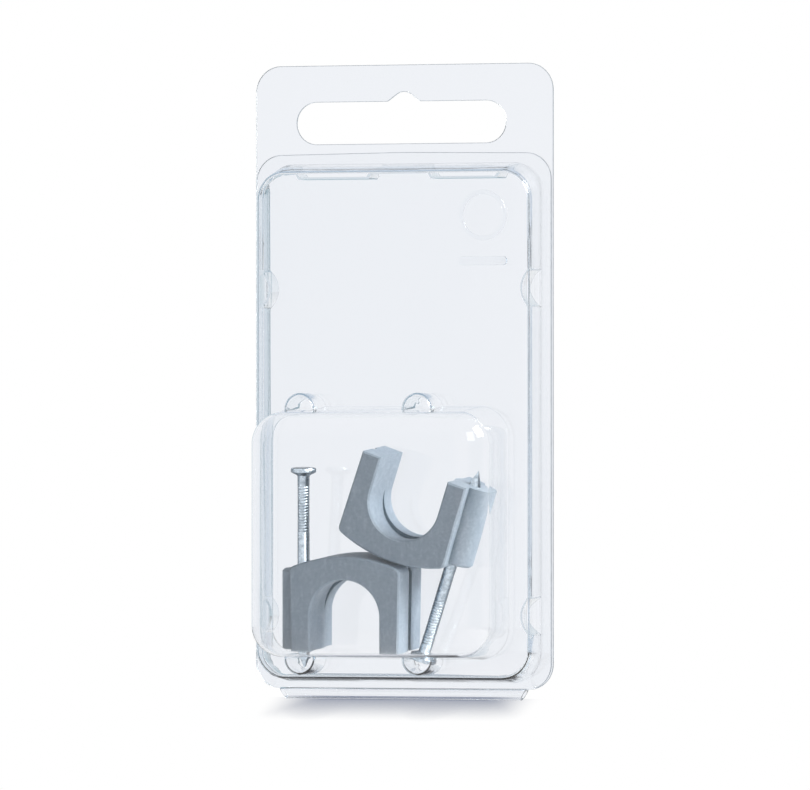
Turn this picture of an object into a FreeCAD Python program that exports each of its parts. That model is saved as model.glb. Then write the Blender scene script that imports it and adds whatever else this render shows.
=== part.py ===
import FreeCAD, Part
import math
import os

# Clear plastic sheet: formed in one piece, then folded once along the bottom.
sheet = 0.3
nest_gap = 0.1

# Back leaf with the hang tab.
pack_width = 47.4
pack_height = 94.9
tab_corner_radius = 4.0
bottom_corner_radius = 3.8

# Front leaf, a little smaller than the back one, which stands above it as a tab.
front_inset = 0.2
tab_rise = 13.4
front_height = pack_height - tab_rise
front_top_bow = 0.3
front_corner_radius = 4.0

# Fold line: a small half-round bead in each leaf, with its ends cut aslant.
fold_end_inset = 5.05
fold_length = pack_width - 2 * fold_end_inset
fold_height = 1.6
fold_end_cut = 0.95
bead_radius = 0.9

# Hang slot with a raised middle for a hook.
slot_width = 33.3
slot_height = 6.3
slot_drop = 11.8
slot_bottom = pack_height - slot_drop
slot_shift = -0.45
hook_rise_half_width = 2.6
hook_rise_angle = 36.0
hook_rise_radius = 1.9
hook_rise_foot_radius = 0.7

# Raised frame that fills the front leaf.
frame_height = 5.2
side_flange = 1.65
top_flange = 1.3
frame_half_width = pack_width / 2 - side_flange
frame_bottom = 2.55
frame_top = front_height - top_flange
frame_side_lean = 0.35
frame_bottom_lean = 0.65
frame_top_lean = 1.3
frame_corner_radius = 4.5
frame_edge_cut = 0.4

# Plug of the back leaf, which presses into the raised frame from behind.
plug_height = 3.9
low_notch_height = 12.6
high_notch_drop = 18.85
side_notch_heights = (low_notch_height, frame_top - high_notch_drop)
side_notch_half_chord = 2.8
side_notch_depth = 1.5
left_notch_inset = 5.55
right_notch_inset = 4.75
left_notch_end = -3.1
right_notch_start = 4.6
top_notch_spans = (
    (left_notch_inset - frame_half_width, left_notch_end),
    (right_notch_start, frame_half_width - right_notch_inset),
)
top_notch_depth = 0.85
top_notch_slope = 1.35

# Round cable clip, moulded in one piece.
clip_leg = 3.0
clip_gap = 11.0
clip_width = clip_gap + 2 * clip_leg
clip_height = 14.3
clip_depth = 9.7
clip_crown = 3.45
clip_lean = 0.25
clip_crown_sagitta = 1.8
clip_shoulder_radius = 1.0
clip_edge_cut = 0.25
clip_leg_to_nail = 0.25
boss_diameter = 6.3
boss_height = 12.0
boss_edge_cut = 0.35
crown_groove_depth = 0.6
crown_groove_width = 3.2
side_groove_depth = 0.3
side_groove_width = 1.2

# Zinc-plated nail with a flat head and a four-sided point.
nail_length = 30.0
nail_diameter = 1.8
nail_head_diameter = 3.8
nail_head_thickness = 0.7
nail_head_cone = 0.55
nail_head_edge_cut = 0.2
nail_point_length = 2.7
nail_hole_gap = 0.02
nail_offset = clip_width / 2 - clip_leg_to_nail

# How the two clips lie behind the pocket's bottom wall: the turn in the pack's plane
# and the lean to the front in degrees, and the gaps to the plug, the wall and each other.
pocket_bottom = 6.1
clip_seat_gap = 0.85
clip_y = -plug_height - clip_seat_gap - clip_depth / 2
lower_clip_turn = 1.6
lower_clip_lean = 4.3
lower_clip_x = -4.05
lower_wall_gap = 1.35
lower_clip_z = pocket_bottom + lower_wall_gap + clip_height / 2
upper_clip_turn = 199.3
upper_clip_lean = 4.7
clip_side_step = 0.4
clip_nesting = 0.9
upper_clip_x = lower_clip_x + clip_width / 2 + clip_side_step
upper_clip_z = lower_clip_z + clip_height - clip_nesting

# How far each nail's tip stands past its clip's wall face. The lower tip and the upper
# head both end just below the pocket's bottom wall, in its bulges.
lower_tip_drop = 1.65
lower_nail_reach = lower_wall_gap + lower_tip_drop
upper_head_drop = 0.22
upper_tilt = math.radians(upper_clip_turn - 180)
upper_head_rise = upper_clip_z - pocket_bottom + upper_head_drop - nail_offset * math.sin(upper_tilt)
upper_head_distance = upper_head_rise / math.cos(upper_tilt)
upper_nail_reach = nail_length - clip_height / 2 - upper_head_distance

# Pocket that stands out of the raised frame, wide enough for the clips with their bosses.
pocket_depth = 11.8
pocket_top = 43.8
left_room = 3.85
right_room = 2.4
pocket_left = lower_clip_x - nail_offset - boss_diameter / 2 - left_room
pocket_right = upper_clip_x + nail_offset + boss_diameter / 2 + right_room
pocket_side_lean = 0.36
pocket_bottom_lean = 0.6
pocket_top_lean = 1.3
pocket_corner_radius = 4.7
pocket_edge_radius = 4.1

# Half-round bulges on the pocket's top and bottom walls, room for the nails' ends.
left_bulge_step = 0.5
left_bulge_x = lower_clip_x - nail_offset - left_bulge_step
right_bulge_x = (upper_clip_x + nail_offset * math.cos(upper_tilt)
                 - upper_head_distance * math.sin(upper_tilt))
bulge_radius = 2.4
bulge_depth = 5.4
top_bulge_reach = 1.95
bottom_bulge_reach = 2.3
bulge_edge_cut = 0.4

# How far each raised block runs back into the one behind it.
root_overlap = 1.0

# Room left behind and before the leaves while they are cut to shape.
spare = 3.0
tiny = 1e-3


def rounded_wire(corners, depth):
    """Closed outline at one depth; each corner is (x, z, radius)."""
    points = [FreeCAD.Vector(x, depth, z) for x, z, radius in corners]
    turns = []
    for index, (x, z, radius) in enumerate(corners):
        here = points[index]
        back = (points[index - 1] - here).normalize()
        ahead = (points[(index + 1) % len(points)] - here).normalize()
        half_angle = back.getAngle(ahead) / 2
        reach = radius / math.tan(half_angle)
        middle = here + (back + ahead).normalize() * (radius / math.sin(half_angle) - radius)
        turns.append((here + back * reach, middle, here + ahead * reach, radius))
    edges = []
    for index, (start, middle, end, radius) in enumerate(turns):
        if radius > 0:
            edges.append(Part.Arc(start, middle, end).toShape())
        following = turns[(index + 1) % len(turns)][0]
        if (following - end).Length > 1e-4:
            edges.append(Part.makeLine(end, following))
    return Part.Wire(edges)


def prism(corners, back, front):
    """Straight block with a rounded outline, between two depths."""
    face = Part.Face(rounded_wire(corners, back))
    return face.extrude(FreeCAD.Vector(0, front - back, 0))


def leaf_outline(half_width, height, top_radius, bow):
    """Outline of one leaf: slanted ends of the fold, run on below it, and rounded corners."""
    foot = -bead_radius
    foot_half = fold_length / 2 + fold_end_cut * foot / fold_height
    strip_half = fold_length / 2 + fold_end_cut
    corners = [
        (-foot_half, foot, 0),
        (foot_half, foot, 0),
        (strip_half, fold_height, 0),
        (half_width, fold_height, bottom_corner_radius),
        (half_width, height, top_radius),
        (-half_width, height, top_radius),
        (-half_width, fold_height, bottom_corner_radius),
        (-strip_half, fold_height, 0),
    ]
    if bow > 0:
        corners.insert(5, (0, height + bow, half_width))
    return corners


def hump(box, leans, height, root, front, inset, plan_radius):
    """Block with leaning walls, given by its box at the root and how far each wall leans in."""
    half_turns = [math.hypot(1, lean / height) for lean in leans]
    left, right, low, high = box

    def walls(depth):
        rise = (root - depth) / height
        return (
            left + leans[0] * rise + inset * half_turns[0],
            right - leans[1] * rise - inset * half_turns[1],
            low + leans[2] * rise + inset * half_turns[2],
            high - leans[3] * rise - inset * half_turns[3],
        )

    back = root + root_overlap
    near = walls(front)
    far = walls(back)
    block = Part.makeWedge(
        near[0], front, near[2], far[2], far[0],
        near[1], back, near[3], far[3], far[1],
    )
    uprights = [edge for edge in block.Edges if edge.BoundBox.YLength > sheet]
    return block.makeFillet(plan_radius - inset, uprights)


def front_rim(block, front):
    """Edges around a block's front face."""
    return [edge for edge in block.Edges if edge.BoundBox.YMax < front + tiny]


def inner_cut(cut, inset):
    """Corner cut of a face drawn in by the inset, so that the sheet keeps its thickness."""
    return cut - inset * (2 - math.sqrt(2))


def frame_hump(front, inset, edge_cut):
    """Raised frame, or the plug that nests in it, up to a given front face."""
    box = (-frame_half_width, frame_half_width, frame_bottom, frame_top)
    leans = (frame_side_lean, frame_side_lean, frame_bottom_lean, frame_top_lean)
    block = hump(box, leans, frame_height, 0, front, inset, frame_corner_radius)
    return block.makeChamfer(edge_cut, front_rim(block, front))


def pocket_hump(inset):
    """Pocket with its large front rounding."""
    box = (pocket_left, pocket_right, pocket_bottom, pocket_top)
    leans = (pocket_side_lean, pocket_side_lean, pocket_bottom_lean, pocket_top_lean)
    front = -frame_height - pocket_depth + inset
    block = hump(box, leans, pocket_depth, -frame_height, front, inset, pocket_corner_radius)
    return block.makeFillet(pocket_edge_radius - inset, front_rim(block, front))


def bulges(inset):
    """Half-round bulges of the pocket's top and bottom walls."""
    radius = bulge_radius - inset
    front = -frame_height - bulge_depth + inset
    length = bulge_depth - inset + sheet
    shapes = []
    for x in (left_bulge_x, right_bulge_x):
        for z in (pocket_top + top_bulge_reach - bulge_radius,
                  pocket_bottom - bottom_bulge_reach + bulge_radius):
            bulge = Part.makeCylinder(radius, length, FreeCAD.Vector(x, front, z),
                                      FreeCAD.Vector(0, 1, 0))
            rim = front_rim(bulge, front)
            shapes.append(bulge.makeChamfer(inner_cut(bulge_edge_cut, inset), rim))
    return shapes


def front_body(inset):
    """Everything behind the front leaf's outer face, drawn in by one sheet for its inner face."""
    outline = leaf_outline(pack_width / 2 + spare, front_height + spare, front_corner_radius, 0)
    slab = prism(outline, spare, -sheet + inset)
    frame = frame_hump(-frame_height + inset, inset, inner_cut(frame_edge_cut, inset))
    body = slab.fuse([frame, pocket_hump(inset)] + bulges(inset))
    return body.removeSplitter()


def plug_notches(extra):
    """Notches in the plug's walls, wider by the sheet for the rear face."""
    wall_x = frame_half_width - sheet - nest_gap
    radius = (side_notch_half_chord ** 2 + side_notch_depth ** 2) / (2 * side_notch_depth)
    outside = radius - side_notch_depth
    cutters = []
    for z in side_notch_heights:
        for side in (-1, 1):
            place = FreeCAD.Vector(side * (wall_x + outside), -plug_height - spare, z)
            cutters.append(Part.makeCylinder(radius + extra, plug_height + spare,
                                             place, FreeCAD.Vector(0, 1, 0)))
    floor = frame_top - frame_top_lean - top_notch_depth - extra
    for left, right in top_notch_spans:
        outline = [
            (left - extra, frame_top + spare, 0),
            (right + extra, frame_top + spare, 0),
            (right + extra, frame_top, 0),
            (right - top_notch_slope + extra, floor, 0),
            (left + top_notch_slope - extra, floor, 0),
            (left - extra, frame_top, 0),
        ]
        cutters.append(prism(outline, 0, -plug_height - spare))
    return cutters


def back_body(inset):
    """Everything behind the back leaf's front face, drawn in by one sheet for its rear face."""
    outline = leaf_outline(pack_width / 2 + spare, pack_height + spare, tab_corner_radius, 0)
    plug = frame_hump(-plug_height + inset, sheet + nest_gap + inset,
                      inner_cut(frame_edge_cut, inset))
    plug = plug.cut(plug_notches(inset))
    slab = prism(outline, 2 * spare, inset)
    return slab.fuse(plug).removeSplitter()


def with_fold(leaf, outline, side):
    """Leaf cut to its outline, with its half-round bead along the fold."""
    trim = prism(outline, 2 * spare, -frame_height - pocket_depth - spare)
    middle = FreeCAD.Vector(-pack_width / 2, 0, bead_radius)
    along = FreeCAD.Vector(1, 0, 0)
    up = FreeCAD.Vector(0, 0, bead_radius)
    outward = FreeCAD.Vector(0, side * bead_radius, 0)
    rim = Part.Wire([
        Part.Arc(middle - up, middle + outward, middle + up).toShape(),
        Part.makeLine(middle + up, middle - up),
    ])
    hollow = Part.makeCylinder(bead_radius - sheet, pack_width, middle, along)
    bead = Part.Face(rim).extrude(along * pack_width).cut(hollow).common(trim)
    below = Part.makeBox(2 * pack_width, 2 * spare, spare + bead_radius,
                         FreeCAD.Vector(-pack_width, -spare, -spare))
    return leaf.common(trim).cut([hollow, below]).fuse(bead).removeSplitter()


def hook_height():
    """Height of the slot's crown, where the hook bears."""
    angle = math.radians(hook_rise_angle)
    apex = slot_bottom + slot_height + hook_rise_half_width * math.tan(angle)
    return apex - hook_rise_radius * (1 / math.cos(angle) - 1)


def hang_slot():
    """Slot with round ends and a raised middle."""
    left = slot_shift - slot_width / 2
    right = slot_shift + slot_width / 2
    top = slot_bottom + slot_height
    end_radius = slot_height / 2 - tiny
    rise = hook_rise_half_width * math.tan(math.radians(hook_rise_angle))
    outline = [
        (left, slot_bottom, end_radius),
        (right, slot_bottom, end_radius),
        (right, top, end_radius),
        (hook_rise_half_width, top, hook_rise_foot_radius),
        (0, top + rise, hook_rise_radius),
        (-hook_rise_half_width, top, hook_rise_foot_radius),
        (left, top, end_radius),
    ]
    return prism(outline, spare, -spare)


def front_shell():
    """Front leaf: flange, raised frame, pocket and the front half of the fold."""
    leaf = front_body(0).cut(front_body(sheet))
    half_width = pack_width / 2 - front_inset
    outline = leaf_outline(half_width, front_height, front_corner_radius, front_top_bow)
    return with_fold(leaf, outline, -1)


def back_shell():
    """Back leaf: tab with the hang slot, flange, plug and the back half of the fold."""
    leaf = back_body(0).cut(back_body(sheet))
    outline = leaf_outline(pack_width / 2, pack_height, tab_corner_radius, 0)
    return with_fold(leaf, outline, 1).cut(hang_slot())


def cable_clip():
    """Clip with its wall face at z = 0 and the nail on the z axis."""
    left = -clip_leg_to_nail
    right = left + clip_width
    middle = (left + right) / 2
    arch_radius = clip_gap / 2
    arch_foot = clip_height - clip_crown - arch_radius
    shoulder = clip_height - clip_crown_sagitta

    def at(x, z):
        return FreeCAD.Vector(x, -clip_depth / 2, z)

    outer_left = at(left - clip_lean, shoulder)
    outer_right = at(right + clip_lean, shoulder)
    arch_left = at(left + clip_leg, arch_foot)
    arch_right = at(right - clip_leg, arch_foot)
    profile = Part.Wire([
        Part.makeLine(at(left, 0), at(left + clip_leg, 0)),
        Part.makeLine(at(left + clip_leg, 0), arch_left),
        Part.Arc(arch_left, at(middle, arch_foot + arch_radius), arch_right).toShape(),
        Part.makeLine(arch_right, at(right - clip_leg, 0)),
        Part.makeLine(at(right - clip_leg, 0), at(right, 0)),
        Part.makeLine(at(right, 0), outer_right),
        Part.Arc(outer_right, at(middle, clip_height), outer_left).toShape(),
        Part.makeLine(outer_left, at(left, 0)),
    ])
    body = Part.Face(profile).extrude(FreeCAD.Vector(0, clip_depth, 0))
    shoulders = [edge for edge in body.Edges
                 if edge.BoundBox.YLength > clip_depth / 2
                 and edge.BoundBox.ZMin > arch_foot
                 and abs(edge.CenterOfMass.x - middle) > clip_width / 4]
    body = body.makeFillet(clip_shoulder_radius, shoulders)
    sides = [edge for edge in body.Edges if edge.BoundBox.YLength < clip_depth / 2]
    body = body.makeChamfer(clip_edge_cut, sides)

    boss = Part.makeCylinder(boss_diameter / 2, boss_height)
    rim = [edge for edge in boss.Edges if edge.BoundBox.ZMin > boss_height - tiny]
    boss = boss.makeChamfer(boss_edge_cut, rim)
    groove_start = FreeCAD.Vector(middle, -crown_groove_width / 2, arch_foot + crown_groove_depth)
    crown_groove = Part.makeCylinder(arch_radius, crown_groove_width, groove_start,
                                     FreeCAD.Vector(0, 1, 0))
    side_groove = Part.makeBox(side_groove_depth + clip_lean, side_groove_width, clip_height,
                               FreeCAD.Vector(right - side_groove_depth,
                                              -side_groove_width / 2, 0))
    hole = Part.makeCylinder(nail_diameter / 2 + nail_hole_gap, clip_height + spare,
                             FreeCAD.Vector(0, 0, -spare))
    return body.fuse(boss).cut([crown_groove, side_groove, hole]).removeSplitter()


def nail(reach):
    """Nail on the z axis, point down, its tip past the clip's wall face."""
    tip = -reach
    top = tip + nail_length
    shank = nail_diameter / 2
    head = nail_head_diameter / 2
    profile = Part.makePolygon([
        FreeCAD.Vector(0, 0, tip),
        FreeCAD.Vector(shank, 0, tip),
        FreeCAD.Vector(shank, 0, top - nail_head_thickness - nail_head_cone),
        FreeCAD.Vector(head, 0, top - nail_head_thickness),
        FreeCAD.Vector(head, 0, top - nail_head_edge_cut),
        FreeCAD.Vector(head - nail_head_edge_cut, 0, top),
        FreeCAD.Vector(0, 0, top),
        FreeCAD.Vector(0, 0, tip),
    ])
    blank = Part.Face(profile).revolve(FreeCAD.Vector(), FreeCAD.Vector(0, 0, 1), 360)
    grown = head / shank
    point_top = tip + nail_point_length * grown
    base = Part.makePolygon([FreeCAD.Vector(head, head, point_top),
                             FreeCAD.Vector(-head, head, point_top),
                             FreeCAD.Vector(-head, -head, point_top),
                             FreeCAD.Vector(head, -head, point_top),
                             FreeCAD.Vector(head, head, point_top)])
    tip_vertex = FreeCAD.Vector(0, 0, tip)
    corners = [vertex.Point for vertex in base.Vertexes]
    faces = [Part.Face(base)]
    for index, corner in enumerate(corners):
        after = corners[(index + 1) % len(corners)]
        faces.append(Part.Face(Part.makePolygon([corner, after, tip_vertex, corner])))
    pyramid = Part.Solid(Part.Shell(faces))
    above = Part.makeCylinder(head, nail_length, FreeCAD.Vector(0, 0, point_top))
    return blank.common(pyramid.fuse(above).removeSplitter())


def laid(shape, centre, turn, lean):
    """Copy of a clip or its nail, turned about the clip's centre and set in the pocket."""
    across = FreeCAD.Vector(1, 0, 0)
    depth = FreeCAD.Vector(0, 1, 0)
    rotation = FreeCAD.Rotation(across, lean) * FreeCAD.Rotation(depth, turn)
    own_centre = FreeCAD.Vector(nail_offset, 0, clip_height / 2)
    placement = FreeCAD.Placement(centre, rotation)
    placement = placement * FreeCAD.Placement(-own_centre, FreeCAD.Rotation())
    return shape.transformed(placement.toMatrix(), copy=True)


def export(shape, name):
    """Write one piece with the hook's bearing point as the origin."""
    placed = shape.copy()
    placed.translate(FreeCAD.Vector(0, 0, -hook_height()))
    solids = placed.Solids
    print(name, "solids", len(solids), "valid", placed.isValid(), "volume", round(placed.Volume, 2))
    if len(solids) == 1:
        placed = solids[0]
    placed.exportStep("parts/" + name + ".step")


os.makedirs("parts", exist_ok=True)

export(back_shell(), "back_shell")
export(front_shell(), "front_shell")

clip = cable_clip()
lower_centre = FreeCAD.Vector(lower_clip_x, clip_y, lower_clip_z)
upper_centre = FreeCAD.Vector(upper_clip_x, clip_y, upper_clip_z)
lays = {
    "lower": (lower_centre, lower_clip_turn, lower_clip_lean, lower_nail_reach),
    "upper": (upper_centre, upper_clip_turn, upper_clip_lean, upper_nail_reach),
}
for name, (centre, turn, lean, reach) in lays.items():
    export(laid(clip, centre, turn, lean), "cable_clip_" + name)
    export(laid(nail(reach), centre, turn, lean), "nail_" + name)
print("hook height", round(hook_height(), 3))
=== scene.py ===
import math

import bmesh
import bpy
from mathutils import Matrix, Vector


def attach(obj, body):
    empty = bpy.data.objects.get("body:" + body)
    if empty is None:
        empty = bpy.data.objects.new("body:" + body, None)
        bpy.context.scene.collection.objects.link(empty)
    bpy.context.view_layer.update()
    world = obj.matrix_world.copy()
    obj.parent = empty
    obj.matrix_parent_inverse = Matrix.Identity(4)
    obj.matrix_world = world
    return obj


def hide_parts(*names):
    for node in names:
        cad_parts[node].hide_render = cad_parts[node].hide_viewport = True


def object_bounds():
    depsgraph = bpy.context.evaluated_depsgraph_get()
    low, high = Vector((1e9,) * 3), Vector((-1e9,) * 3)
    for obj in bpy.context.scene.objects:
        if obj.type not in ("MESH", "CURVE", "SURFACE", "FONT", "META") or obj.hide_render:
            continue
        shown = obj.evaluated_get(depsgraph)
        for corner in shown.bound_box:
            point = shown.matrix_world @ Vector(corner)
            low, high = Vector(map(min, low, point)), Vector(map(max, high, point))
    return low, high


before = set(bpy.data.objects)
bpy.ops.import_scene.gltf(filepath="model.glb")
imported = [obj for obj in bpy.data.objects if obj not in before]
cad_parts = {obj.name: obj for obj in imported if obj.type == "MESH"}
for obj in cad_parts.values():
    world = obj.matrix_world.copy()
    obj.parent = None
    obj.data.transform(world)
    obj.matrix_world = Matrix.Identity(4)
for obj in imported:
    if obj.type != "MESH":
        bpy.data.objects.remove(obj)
cad_box = [list(corner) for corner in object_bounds()]

# The back leaf: clear PET sheet 0.3 mm thick, vacuum formed with a raised plug and a punched
# hang slot. It is one sheet with the front leaf, folded at the bottom. It stands behind the
# front leaf and its plug snaps into the front leaf's frame.
mm = 0.001
fold_height = cad_box[0][2]
fold_top = fold_height + 1.8 * mm
sheet_thickness = 0.3 * mm
leaf_parting = 0.015 * mm
weld_distance = 0.0005 * mm
bend_shading_angle = math.radians(50)
rim_round = 0.08 * mm
rim_depth = sheet_thickness * 1.05
rim_lean = 0.05
blunted_lean = (0.3, 0.95)
sharp_corner = 1
clear_tint = (0.996, 0.996, 0.998, 1)
edge_tint = (0.4, 0.55, 0.63, 1)
edge_tint_per_metre = 120
lamp_light_tint = (0.95, 0.96, 0.98, 1)
sheet_ior = 1.5
sheet_roughness = (0.02, 0.07)
sheet_scuffs = (260, 0.3)
sheet_waves_per_metre = 110
sheet_wave_relief = (0.25, 0.15 * mm)
trapped_ray_depth = 9
# Painted shade and painted glints for the sheet's cut rim.
cut_edge_painted_shade = (0.12, 0.16, 0.2, 1)
cut_edge_painted_glint = (0.5, 0.55, 0.6, 1)
cut_edge_roughness = 0.5
shear_marks_per_metre = 900
scuff_floor = 0.45
scuff_full = 0.5
scratch_turn = (0.3, 0.5, 0.7)
scratch_stretch = (1.0, 1.0, 14.0)


def feed(tree, socket, value):
    """Set a socket to a plain value, or link another node's output to it."""
    if isinstance(value, bpy.types.NodeSocket):
        tree.links.new(value, socket)
    else:
        socket.default_value = value


def surface_place(tree):
    """The place on the piece, in the piece's own coordinates."""
    return tree.nodes.new("ShaderNodeTexCoord").outputs["Object"]


def speckle(tree, place, scale, detail, roughness=0.5):
    """Uneven tone from 0 to 1, with so many specks to the metre."""
    texture = tree.nodes.new("ShaderNodeTexNoise")
    feed(tree, texture.inputs["Vector"], place)
    feed(tree, texture.inputs["Scale"], scale)
    texture.inputs["Detail"].default_value = detail
    texture.inputs["Roughness"].default_value = roughness
    return texture.outputs["Fac"]


def drawn_out(tree, place, turn, stretch):
    """The place turned and stretched, so that specks on it become lines."""
    mapping = tree.nodes.new("ShaderNodeMapping")
    mapping.inputs["Rotation"].default_value = turn
    mapping.inputs["Scale"].default_value = stretch
    tree.links.new(place, mapping.inputs["Vector"])
    return mapping.outputs["Vector"]


def worked_out(tree, operation, *values):
    """One step of arithmetic on plain values or other nodes' outputs."""
    step = tree.nodes.new("ShaderNodeMath")
    step.operation = operation
    for socket, value in zip(step.inputs, values):
        feed(tree, socket, value)
    return step.outputs["Value"]


def levelled(tree, value, start, end, low=0, high=1, kind="LINEAR"):
    """The value's stretch from start to end, laid out from low to high."""
    levels = tree.nodes.new("ShaderNodeMapRange")
    levels.interpolation_type = kind
    levels.inputs["To Min"].default_value = low
    levels.inputs["To Max"].default_value = high
    for name, given in (("Value", value), ("From Min", start), ("From Max", end)):
        feed(tree, levels.inputs[name], given)
    return levels.outputs["Result"]


def tone_between(tree, share, first, second):
    """A colour between two others, by a share from 0 to 1."""
    mix = tree.nodes.new("ShaderNodeMix")
    mix.data_type = "RGBA"
    for name, given in (("Factor", share), ("A", first), ("B", second)):
        feed(tree, mix.inputs[name], given)
    return mix.outputs["Result"]


def toned(tree, value, tones):
    """The value turned into tones, which are given as (level, colour) from the darkest up."""
    ramp = tree.nodes.new("ShaderNodeValToRGB")
    elements = ramp.color_ramp.elements
    for level, colour in tones[1:-1]:
        elements.new(level).color = colour
    for element, (level, colour) in ((elements[0], tones[0]), (elements[-1], tones[-1])):
        element.position = level
        element.color = colour
    tree.links.new(value, ramp.inputs["Fac"])
    return ramp.outputs["Color"]


def relief(tree, height, strength, distance, under=None):
    """Fine relief too small to model, laid over another where one is given."""
    bump = tree.nodes.new("ShaderNodeBump")
    bump.inputs["Strength"].default_value = strength
    bump.inputs["Distance"].default_value = distance
    tree.links.new(height, bump.inputs["Height"])
    if under is not None:
        tree.links.new(under, bump.inputs["Normal"])
    return bump.outputs["Normal"]


def handling_scuffs():
    """Short fine scratches and rubbed patches, as a mask from 0 to 1."""
    group = bpy.data.node_groups.new("handling_scuffs", "ShaderNodeTree")
    for name, usual in (("Scale", 400.0), ("Cover", 0.4)):
        socket = group.interface.new_socket(name, in_out="INPUT", socket_type="NodeSocketFloat")
        socket.default_value = usual
    group.interface.new_socket("Mask", in_out="OUTPUT", socket_type="NodeSocketFloat")
    taken = group.nodes.new("NodeGroupInput")
    given = group.nodes.new("NodeGroupOutput")
    place = surface_place(group)
    scratch_place = drawn_out(group, place, scratch_turn, scratch_stretch)
    patches = speckle(group, place, taken.outputs["Scale"], detail=6, roughness=0.65)
    scratches = speckle(group, scratch_place, taken.outputs["Scale"], detail=3)
    both = worked_out(group, "MULTIPLY", patches, scratches)
    bare_below = worked_out(group, "SUBTRACT", scuff_floor, taken.outputs["Cover"])
    mask = levelled(group, both, bare_below, scuff_full)
    group.links.new(mask, given.inputs["Mask"])
    return group


def rubbed_mask(tree, scale, cover):
    """Where a piece is rubbed, from the scuffs that all the materials share."""
    rubbed = tree.nodes.new("ShaderNodeGroup")
    rubbed.node_tree = scuffs
    rubbed.inputs["Scale"].default_value = scale
    rubbed.inputs["Cover"].default_value = cover
    return rubbed.outputs["Mask"]


def new_material(name):
    """A new material with its node tree and its Principled shader."""
    material = bpy.data.materials.new(name)
    material.use_nodes = True
    return material, material.node_tree, material.node_tree.nodes["Principled BSDF"]


def clear_sheet_material():
    """Clear formed sheet: faintly wavy, tinted blue along its edges, rubbed where it is handled."""
    material, tree, shader = new_material("clear_sheet")
    shader.inputs["Base Color"].default_value = clear_tint
    shader.inputs["Transmission Weight"].default_value = 1
    shader.inputs["IOR"].default_value = sheet_ior
    haze = levelled(tree, rubbed_mask(tree, *sheet_scuffs), 0, 1, *sheet_roughness)
    tree.links.new(haze, shader.inputs["Roughness"])
    waves = speckle(tree, surface_place(tree), sheet_waves_per_metre, detail=2)
    tree.links.new(relief(tree, waves, *sheet_wave_relief), shader.inputs["Normal"])

    # Lamp light and diffuse light pass straight through, so that the sheet casts next to no
    # shadow. So does a ray caught between the walls of the sheet, which would end up black.
    lamp_light = tree.nodes.new("ShaderNodeBsdfTransparent")
    lamp_light.inputs["Color"].default_value = lamp_light_tint
    ray = tree.nodes.new("ShaderNodeLightPath").outputs
    soft = worked_out(tree, "MAXIMUM", ray["Is Shadow Ray"], ray["Is Diffuse Ray"])
    trapped = worked_out(tree, "GREATER_THAN", ray["Ray Depth"], trapped_ray_depth)
    mix = tree.nodes.new("ShaderNodeMixShader")
    tree.links.new(worked_out(tree, "MAXIMUM", soft, trapped), mix.inputs["Fac"])
    tree.links.new(shader.outputs["BSDF"], mix.inputs[1])
    tree.links.new(lamp_light.outputs["BSDF"], mix.inputs[2])
    output = tree.nodes["Material Output"]
    tree.links.new(mix.outputs["Shader"], output.inputs["Surface"])

    depth = tree.nodes.new("ShaderNodeVolumeAbsorption")
    depth.inputs["Color"].default_value = edge_tint
    depth.inputs["Density"].default_value = edge_tint_per_metre
    tree.links.new(depth.outputs["Volume"], output.inputs["Volume"])
    return material


def cut_edge_material():
    """The sheet's sheared rim, painted as a fine dark line of shade with painted glints along its
    shear marks.
    """
    material, tree, shader = new_material("cut_edge")
    shader.inputs["Transmission Weight"].default_value = 1
    shader.inputs["IOR"].default_value = sheet_ior
    shader.inputs["Roughness"].default_value = cut_edge_roughness
    shear = speckle(tree, surface_place(tree), shear_marks_per_metre, detail=2)
    # Painted shade and painted glints: the rim is tinted near-black blue, lighter in specks along the
    # shear marks.
    tone = tone_between(tree, shear, cut_edge_painted_shade, cut_edge_painted_glint)
    tree.links.new(tone, shader.inputs["Base Color"])
    return material


def welded_copy(node, name, shading_angle):
    """The node's own shape with its triangles joined and its rounded bends shaded smooth."""
    bm = bmesh.new()
    bm.from_mesh(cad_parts[node].data)
    bmesh.ops.remove_doubles(bm, verts=bm.verts, dist=weld_distance)
    mesh = bpy.data.meshes.new(name)
    bm.to_mesh(mesh)
    bm.free()
    if "custom_normal" in mesh.attributes:
        mesh.attributes.remove(mesh.attributes["custom_normal"])
    mesh.shade_smooth()
    mesh.set_sharp_from_angle(angle=shading_angle)
    piece = bpy.data.objects.new(name, mesh)
    bpy.context.scene.collection.objects.link(piece)
    even = piece.modifiers.new("even_flats", "WEIGHTED_NORMAL")
    even.keep_sharp = True
    return piece


def within_rim(face):
    """Whether the face lies within the thickness of the flat flange, not down a formed wall."""
    return max(abs(vertex.co.y) for vertex in face.verts) < rim_depth


def above_fold(part):
    """Whether the edge or face is clear of the fold, where both leaves end in a round bead."""
    return min(vertex.co.z for vertex in part.verts) > fold_top


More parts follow.
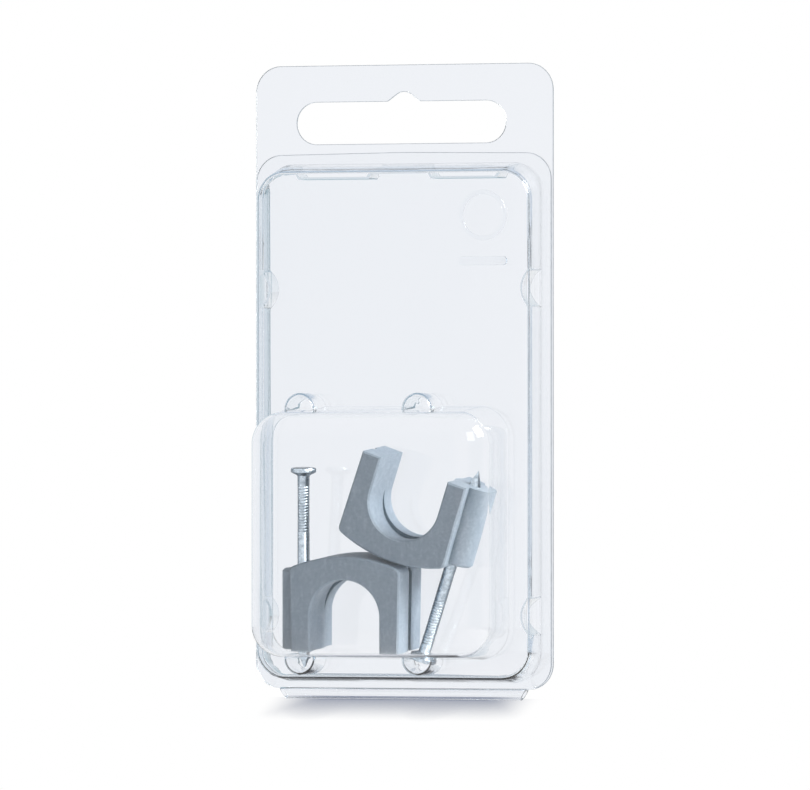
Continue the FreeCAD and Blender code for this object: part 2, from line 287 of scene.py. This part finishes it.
def finish_leaf(leaf, parting):
    """Blunt the leaf's sheared rims, give them the painted dark edge line, and part it from the other
    leaf.
    """
    leaf.data.materials.clear()
    leaf.data.materials.append(clear_sheet)
    leaf.data.materials.append(cut_edge)
    bm = bmesh.new()
    bm.from_mesh(leaf.data)
    for face in bm.faces:
        square_to_sheet = abs(face.normal.y) < rim_lean
        face.material_index = 1 if square_to_sheet and within_rim(face) else 0
    corners = [edge for edge in bm.edges
               if len(edge.link_faces) == 2
               and sum(face.material_index for face in edge.link_faces) == 1
               and above_fold(edge)
               and edge.calc_face_angle(0) > sharp_corner]
    bmesh.ops.bevel(bm, geom=corners, offset=rim_round, affect="EDGES", segments=1, profile=0.5,
                    material=-1)
    for face in bm.faces:
        blunted = blunted_lean[0] < abs(face.normal.y) < blunted_lean[1]
        if blunted and within_rim(face) and above_fold(face):
            face.material_index = 1
    bmesh.ops.translate(bm, verts=bm.verts[:], vec=(0, parting, 0))
    bm.to_mesh(leaf.data)
    bm.free()


scuffs = handling_scuffs()
clear_sheet = clear_sheet_material()
cut_edge = cut_edge_material()

back_leaf = welded_copy("back_shell", "clear_back_leaf", bend_shading_angle)
finish_leaf(back_leaf, leaf_parting)
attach(back_leaf, "back_leaf")
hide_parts("back_shell")

# The embossing in the back leaf's corner: a plain ring over a short bar, pressed up out of the
# sheet by the forming tool, so it is as clear as the sheet itself and shows by its edges only.
plug_face = -3.9 * mm
emboss_height = 0.34 * mm
emboss_edge = 0.1 * mm
ring_centre = (14.1 * mm, 72.2 * mm)
ring_outer = 3.75 * mm
ring_inner = 3.1 * mm
ring_segments = 120
bar_centre = (14.1 * mm, 65.4 * mm)
bar_length = 7.6 * mm
bar_height = 1.3 * mm
bar_end_round = bar_height * 0.45


def pressed_up(bm, name, centre):
    """Give a flat outline in the XY plane its height and soft edges, and set it on the plug."""
    flat = bmesh.ops.extrude_face_region(bm, geom=bm.faces[:])
    raised = [item for item in flat["geom"] if isinstance(item, bmesh.types.BMVert)]
    bmesh.ops.translate(bm, verts=raised, vec=(0, 0, emboss_height))
    rims = [edge for edge in bm.edges if edge.calc_face_angle(0) > sharp_corner]
    bmesh.ops.bevel(bm, geom=rims, offset=emboss_edge, affect="EDGES", segments=2, profile=0.5,
                    material=-1)
    bmesh.ops.recalc_face_normals(bm, faces=bm.faces[:])
    mesh = bpy.data.meshes.new(name)
    bm.to_mesh(mesh)
    bm.free()
    mesh.transform(Matrix.Rotation(math.radians(90), 4, "X"))
    mesh.transform(Matrix.Translation((centre[0], plug_face - leaf_parting, fold_height + centre[1])))
    mesh.shade_smooth()
    mesh.materials.append(clear_sheet)
    piece = bpy.data.objects.new(name, mesh)
    bpy.context.scene.collection.objects.link(piece)
    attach(piece, "back_leaf")


bm = bmesh.new()
bmesh.ops.create_circle(bm, segments=ring_segments, radius=ring_outer)
bmesh.ops.create_circle(bm, segments=ring_segments, radius=ring_inner)
bmesh.ops.bridge_loops(bm, edges=bm.edges[:])
pressed_up(bm, "embossed_ring", ring_centre)

bm = bmesh.new()
bmesh.ops.create_grid(bm, x_segments=1, y_segments=1, size=0.5)
bmesh.ops.scale(bm, verts=bm.verts[:], vec=(bar_length, bar_height, 1))
bmesh.ops.bevel(bm, geom=bm.verts[:], offset=bar_end_round, affect="VERTICES", segments=6,
                profile=0.5, material=-1)
pressed_up(bm, "embossed_bar", bar_centre)

# The front leaf: the same sheet, formed with a raised frame and the deep pocket for the goods.
# It hangs on the fold and closes over the plug of the back leaf.
front_leaf = welded_copy("front_shell", "clear_front_leaf", bend_shading_angle)
finish_leaf(front_leaf, -leaf_parting)
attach(front_leaf, "front_leaf")
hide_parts("front_shell")

# The two round cable clips: grey polyethylene, injection moulded in one piece with the boss
# for the nail. They lie loose in the pocket, one crown up and one crown down.
clip_grey = (0.325, 0.39, 0.465, 1)
clip_grey_light = (0.45, 0.52, 0.59, 1)
clip_grey_dark = (0.28, 0.345, 0.42, 1)
clip_tones = ((0.36, clip_grey_dark), (0.52, clip_grey), (0.72, clip_grey_light))
# Painted shade for the clip's creases and recesses.
crevice_painted_shade = (0.025, 0.07, 0.1, 1)
painted_shade_reach = 3.2 * mm
painted_shade_openness = (0.36, 0.9)
painted_shade_samples = 8
clip_scuffs = (700, 0.3)
rubbed_tone = (0.56, 0.62, 0.69, 1)
rubbed_share = 0.22
clip_roughness = (0.62, 0.38)
crisp_edge_angle = math.radians(28)
flow_lines_per_metre = 1500
flow_turn = (0, math.radians(-4), 0)
flow_stretch = (1, 0.6, 0.25)
flow_share = 0.45
flow_relief = (0.55, 0.06 * mm)
mottle_per_metre = 2400
moulding_grain_per_metre = 5200
moulding_grain_relief = (0.5, 0.02 * mm)


def clip_plastic_material():
    """Moulded grey: upright flow lines from the gate, a spark-eroded grain, rubbed patches, and
    painted shade darkening its crevices.
    """
    material, tree, shader = new_material("clip_plastic")
    place = surface_place(tree)
    flow_place = drawn_out(tree, place, flow_turn, flow_stretch)
    flow = speckle(tree, flow_place, flow_lines_per_metre, detail=4, roughness=0.7)
    mottle = speckle(tree, place, mottle_per_metre, detail=4)
    both = tree.nodes.new("ShaderNodeMix")
    both.inputs["Factor"].default_value = flow_share
    tree.links.new(mottle, both.inputs["A"])
    tree.links.new(flow, both.inputs["B"])
    grey = toned(tree, both.outputs["Result"], clip_tones)

    # Painted shade: the grey turns near-black where the clip's own faces close in, as in the crease
    # between leg and boss.
    crevice = tree.nodes.new("ShaderNodeAmbientOcclusion")
    crevice.only_local = True
    crevice.samples = painted_shade_samples
    crevice.inputs["Distance"].default_value = painted_shade_reach
    open_face = levelled(tree, crevice.outputs["AO"], *painted_shade_openness)
    shaded = tone_between(tree, open_face, crevice_painted_shade, grey)
    rubbed = rubbed_mask(tree, *clip_scuffs)
    share = worked_out(tree, "MULTIPLY", rubbed, rubbed_share)
    worn = tone_between(tree, share, shaded, rubbed_tone)
    tree.links.new(worn, shader.inputs["Base Color"])
    gloss = levelled(tree, rubbed, 0, 1, *clip_roughness)
    tree.links.new(gloss, shader.inputs["Roughness"])

    grain = speckle(tree, place, moulding_grain_per_metre, detail=3)
    fine = relief(tree, grain, *moulding_grain_relief)
    tree.links.new(relief(tree, flow, *flow_relief, fine), shader.inputs["Normal"])
    return material


clip_plastic = clip_plastic_material()
for lay in ("lower", "upper"):
    clip = welded_copy("cable_clip_" + lay, "grey_clip_" + lay, crisp_edge_angle)
    clip.data.materials.clear()
    clip.data.materials.append(clip_plastic)
    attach(clip, "front_leaf")
    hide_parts("cable_clip_" + lay)

# The nails: hardened steel wire with a cold-headed flat head, ridges from the gripping dies
# under it and a pinched four-sided point, zinc plated. Each is pressed through its clip's boss.
nail_length = 30 * mm
shank_radius = 0.9 * mm
head_radius = 1.9 * mm
head_thickness = 0.7 * mm
head_cone = 0.55 * mm
cone_waist_height = head_cone * 0.35
cone_waist_radius = shank_radius * 1.18
head_rim = 0.2 * mm
rim_half = head_rim * 0.5
rim_crown = head_rim * 0.15
grip_start = 1.4 * mm
grip_pitch = 0.42 * mm
grip_valley = grip_pitch * 0.25
grip_width = grip_pitch * 0.5
grip_depth = 0.08 * mm
grip_count = 17
point_taper = 1 / 3
point_off_centre = 0.12 * mm
nail_segments = 36
nail_shading_angle = math.radians(40)
nail_offset = 8.25 * mm
clip_half_height = 7.15 * mm
nail_lays = {
    "lower": ((-4.05, -9.6, 14.6), 1.6, 4.3, 3.0 * mm),
    "upper": ((4.85, -9.6, 28.0), 199.3, 4.7, 2.3 * mm),
}
zinc_light = (0.78, 0.86, 0.92, 1)
zinc_dark = (0.5, 0.57, 0.63, 1)
zinc_tones = ((0.36, zinc_dark), (0.6, zinc_light))
# Painted shade for the nails' edges.
zinc_painted_shade = (0.06, 0.095, 0.13, 1)
painted_shade_grazing = (0.22, 0.62)
zinc_roughness = (0.14, 0.4)
zinc_scuffs = (1100, 0.4)
zinc_specks_per_metre = 1600
zinc_speck_relief = (0.3, 0.02 * mm)


def zinc_material():
    """Bright zinc over drawn wire: dull specks, rubbed patches, and painted shade where it turns away
    from the eye.
    """
    material, tree, shader = new_material("zinc_steel")
    shader.inputs["Metallic"].default_value = 1
    specks = speckle(tree, surface_place(tree), zinc_specks_per_metre, detail=5)
    zinc = toned(tree, specks, zinc_tones)
    # Painted shade: the zinc darkens towards near-black where its surface turns away from the eye.
    turned = tree.nodes.new("ShaderNodeLayerWeight")
    turned.inputs["Blend"].default_value = 0.5
    grazing = levelled(tree, turned.outputs["Facing"], *painted_shade_grazing)
    darker = tone_between(tree, grazing, zinc, zinc_painted_shade)
    tree.links.new(darker, shader.inputs["Base Color"])
    dull = levelled(tree, rubbed_mask(tree, *zinc_scuffs), 0, 1, *zinc_roughness)
    tree.links.new(dull, shader.inputs["Roughness"])
    tree.links.new(relief(tree, specks, *zinc_speck_relief), shader.inputs["Normal"])
    return material


def drawn_nail(name):
    """Nail with its tip at the origin and its head up the Z axis, drawn out ring by ring."""
    bm = bmesh.new()
    top = nail_length
    neck = top - head_thickness - head_cone
    rings = [
        (top - rim_crown, head_radius - rim_half),
        (top - head_rim, head_radius),
        (top - head_thickness + rim_half, head_radius),
        (top - head_thickness, head_radius - rim_half),
        (neck + cone_waist_height, cone_waist_radius),
        (neck, shank_radius),
    ]
    for ridge in range(grip_count):
        height = neck - grip_start - ridge * grip_pitch
        rings += [
            (height, shank_radius),
            (height - grip_valley, shank_radius - grip_depth),
            (height - grip_width, shank_radius),
        ]
    rings.append((0, shank_radius))
    height, radius = top, head_radius - head_rim
    start = bmesh.ops.create_circle(bm, cap_ends=True, segments=nail_segments, radius=radius)
    bmesh.ops.translate(bm, verts=start["verts"], vec=(0, 0, top))
    edges = bm.edges[:]
    for next_height, next_radius in rings:
        made = bmesh.ops.extrude_edge_only(bm, edges=edges)["geom"]
        verts = [item for item in made if isinstance(item, bmesh.types.BMVert)]
        edges = [item for item in made if isinstance(item, bmesh.types.BMEdge)]
        grow = next_radius / radius
        bmesh.ops.scale(bm, verts=verts, vec=(grow, grow, 1))
        bmesh.ops.translate(bm, verts=verts, vec=(0, 0, next_height - height))
        height, radius = next_height, next_radius
    bmesh.ops.holes_fill(bm, edges=edges)
    for x, y in ((1, 0), (-1, 0), (0, 1), (0, -1)):
        bmesh.ops.bisect_plane(bm, geom=bm.verts[:] + bm.edges[:] + bm.faces[:],
                               plane_co=Vector((point_off_centre, 0, 0)),
                               plane_no=Vector((x, y, -point_taper)), clear_outer=True)
        bmesh.ops.holes_fill(bm, edges=[edge for edge in bm.edges if edge.is_boundary])
    bmesh.ops.remove_doubles(bm, verts=bm.verts[:], dist=0.001 * mm)
    bmesh.ops.recalc_face_normals(bm, faces=bm.faces[:])
    mesh = bpy.data.meshes.new(name)
    bm.to_mesh(mesh)
    bm.free()
    mesh.shade_smooth()
    mesh.set_sharp_from_angle(angle=nail_shading_angle)
    return mesh


zinc_steel = zinc_material()
for lay, (centre, turn, lean, reach) in nail_lays.items():
    mesh = drawn_nail("zinc_nail_" + lay)
    mesh.transform(Matrix.Translation((-nail_offset, 0, -clip_half_height - reach)))
    mesh.transform(Matrix.Rotation(math.radians(turn), 4, "Y"))
    mesh.transform(Matrix.Rotation(math.radians(lean), 4, "X"))
    middle = Vector(centre) * mm + Vector((0, 0, fold_height))
    mesh.transform(Matrix.Translation(middle))
    mesh.materials.append(zinc_steel)
    nail = bpy.data.objects.new("zinc_nail_" + lay, mesh)
    bpy.context.scene.collection.objects.link(nail)
    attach(nail, "front_leaf")
    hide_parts("nail_" + lay)

# The studio: a plain pale floor well below the pack, so that its front leaf can open, and a
# clear table in the plane of the fold with the pack's soft contact shadow painted on it.
table_tilt = math.radians(20)
table_size = 0.16
table_behind = 0.8 * mm
table_gap = 0.05 * mm
shadow_reach = 7 * mm
shadow_tone = (0.2, 0.23, 0.32, 1)
shadow_half_width = (11 * mm, 22 * mm)
shadow_samples = 8
plain_white = (1, 1, 1, 1)
transmitted_white = (0.904, 0.918, 0.952, 1)
floor_drop = 0.12
floor_size = 6.0
floor_paint = (0.9, 0.9, 0.9, 1)
floor_roughness = 0.8


def flat_square(name, size):
    """A flat square of staging at the origin."""
    bm = bmesh.new()
    bmesh.ops.create_grid(bm, x_segments=1, y_segments=1, size=size / 2)
    mesh = bpy.data.meshes.new(name)
    bm.to_mesh(mesh)
    bm.free()
    square = bpy.data.objects.new(name, mesh)
    bpy.context.scene.collection.objects.link(square)
    return square


def white_behind(tree, ray):
    """Where camera and clear sheet look past the pack, and the white that each sees there."""
    straight, through = ray["Is Camera Ray"], ray["Is Transmission Ray"]
    looked_at = worked_out(tree, "MAXIMUM", straight, through)
    return looked_at, tone_between(tree, through, plain_white, transmitted_white)


table = flat_square("contact_table", table_size)
table.data.transform(Matrix.Translation((0, table_behind - table_size / 2, 0)))
table.data.transform(Matrix.Rotation(table_tilt, 4, "X"))
table.data.transform(Matrix.Translation((0, 0, fold_height - table_gap)))
contact_shadow, tree, paint = new_material("contact_shadow")
tree.nodes.remove(paint)
# Painted shadow: the clear table darkens by how near the pack is, and fades out past the pack's ends.
near = tree.nodes.new("ShaderNodeAmbientOcclusion")
near.samples = shadow_samples
near.inputs["Distance"].default_value = shadow_reach
across = tree.nodes.new("ShaderNodeSeparateXYZ")
tree.links.new(surface_place(tree), across.inputs["Vector"])
aside = worked_out(tree, "ABSOLUTE", across.outputs["X"])
past_pack = levelled(tree, aside, *shadow_half_width, kind="SMOOTHSTEP")
lit = worked_out(tree, "MAXIMUM", near.outputs["AO"], past_pack)
clear_table = tree.nodes.new("ShaderNodeBsdfTransparent")
tree.links.new(tone_between(tree, lit, shadow_tone, plain_white), clear_table.inputs["Color"])
tree.links.new(clear_table.outputs["BSDF"], tree.nodes["Material Output"].inputs["Surface"])
table.data.materials.append(contact_shadow)

floor = flat_square("pale_floor", floor_size)
floor.data.transform(Matrix.Translation((0, 0, fold_height - floor_drop)))
pale_floor, tree, paint = new_material("pale_floor")
paint.inputs["Base Color"].default_value = floor_paint
paint.inputs["Roughness"].default_value = floor_roughness
ray = tree.nodes.new("ShaderNodeLightPath").outputs
looked_at, backdrop_white = white_behind(tree, ray)
backdrop = tree.nodes.new("ShaderNodeEmission")
tree.links.new(backdrop_white, backdrop.inputs["Color"])
pick = tree.nodes.new("ShaderNodeMixShader")
tree.links.new(looked_at, pick.inputs["Fac"])
tree.links.new(paint.outputs["BSDF"], pick.inputs[1])
tree.links.new(backdrop.outputs["Emission"], pick.inputs[2])
tree.links.new(pick.outputs["Shader"], tree.nodes["Material Output"].inputs["Surface"])
floor.data.materials.append(pale_floor)

# The light: a white room, a large softbox to the right and above, and a weak even fill. What
# shines back off sheet and metal sees a room of bright and dark upright panels.
room_fill = 0.19
room_white = (0.97, 0.985, 1, 1)
panel_count = 3
panel_turn = math.radians(61)
panel_edge = 0.7
panel_dark = (0.24, 0.4, 0.47, 1)
panel_bright = (0.93, 0.95, 0.97, 1)
ceiling_white = (0.95, 0.97, 1, 1)
ceiling_rise = (0.15, 0.75)
lamp_aim = Vector((0, 0, -0.045))
lamp_distance = 0.9
lamp_size = 0.5
key_warmth = (1, 0.975, 0.91)

world = bpy.data.worlds.new("studio")
bpy.context.scene.world = world
world.use_nodes = True
tree = world.node_tree
plain_room = tree.nodes["Background"]
plain_room.inputs["Color"].default_value = room_white
plain_room.inputs["Strength"].default_value = room_fill

outlook = tree.nodes.new("ShaderNodeTexCoord")
sight = tree.nodes.new("ShaderNodeSeparateXYZ")
tree.links.new(outlook.outputs["Generated"], sight.inputs["Vector"])
forward = worked_out(tree, "MULTIPLY", sight.outputs["Y"], -1)
round_room = worked_out(tree, "ARCTAN2", sight.outputs["X"], forward)
turned_room = worked_out(tree, "MULTIPLY_ADD", round_room, panel_count, panel_turn)
wave = worked_out(tree, "SINE", turned_room)
panels = levelled(tree, wave, -panel_edge, panel_edge, kind="SMOOTHSTEP")
walls = tone_between(tree, panels, panel_dark, panel_bright)
ceiling = levelled(tree, sight.outputs["Z"], *ceiling_rise)
shine = tree.nodes.new("ShaderNodeBackground")
tree.links.new(tone_between(tree, ceiling, walls, ceiling_white), shine.inputs["Color"])

ray = tree.nodes.new("ShaderNodeLightPath").outputs
glossy = tree.nodes.new("ShaderNodeMixShader")
tree.links.new(ray["Is Glossy Ray"], glossy.inputs["Fac"])
tree.links.new(plain_room.outputs["Background"], glossy.inputs[1])
tree.links.new(shine.outputs["Background"], glossy.inputs[2])
looked_at, backdrop_white = white_behind(tree, ray)
backdrop = tree.nodes.new("ShaderNodeBackground")
tree.links.new(backdrop_white, backdrop.inputs["Color"])
whole = tree.nodes.new("ShaderNodeMixShader")
tree.links.new(looked_at, whole.inputs["Fac"])
tree.links.new(glossy.outputs["Shader"], whole.inputs[1])
tree.links.new(backdrop.outputs["Background"], whole.inputs[2])
tree.links.new(whole.outputs["Shader"], tree.nodes["World Output"].inputs["Surface"])


def softbox(name, azimuth, elevation, light_level):
    """Square lamp aimed at the pack; its level is what a white face square on to it returns."""
    lamp = bpy.data.lights.new(name, "AREA")
    lamp.shape = "SQUARE"
    lamp.size = lamp_size
    lamp.energy = light_level * math.pi ** 2 * lamp_distance ** 2
    box = bpy.data.objects.new(name, lamp)
    bpy.context.scene.collection.objects.link(box)
    a, e = math.radians(azimuth), math.radians(elevation)
    away = Vector((math.sin(a) * math.cos(e), -math.cos(a) * math.cos(e), math.sin(e)))
    box.location = lamp_aim + away * lamp_distance
    box.rotation_euler = away.to_track_quat("Z", "Y").to_euler()
    return lamp


key = softbox("key_softbox", azimuth=100, elevation=34, light_level=1.65)
key.color = key_warmth
softbox("side_fill", azimuth=52, elevation=22, light_level=0.2)

# The camera: a long lens at the photograph's angle, level with the pocket. Light has to cross
# several walls of clear sheet on its way to it, so it may bounce often.
camera_azimuth = math.radians(20.4)
camera_distance = 1.567
lens_length = 466
eye_height = 34.3 * mm
aim_height = 45.5 * mm
aim_right = 0.2 * mm
sheet_bounces = 20
clear_crossings = 24
glossy_bounces = 8
camera_data = bpy.data.cameras.new("camera")
camera_data.lens = lens_length
camera = bpy.data.objects.new("camera", camera_data)
bpy.context.scene.collection.objects.link(camera)
aim = Vector((aim_right, 0, fold_height + aim_height))
camera.location = (
    aim_right + math.sin(camera_azimuth) * camera_distance,
    -math.cos(camera_azimuth) * camera_distance,
    fold_height + eye_height,
)
camera.rotation_euler = (aim - camera.location).to_track_quat("-Z", "Y").to_euler()
bpy.context.scene.camera = camera

scene = bpy.context.scene
scene.view_settings.view_transform = "Standard"
scene.cycles.max_bounces = sheet_bounces
scene.cycles.transmission_bounces = sheet_bounces
scene.cycles.transparent_max_bounces = clear_crossings
scene.cycles.glossy_bounces = glossy_bounces
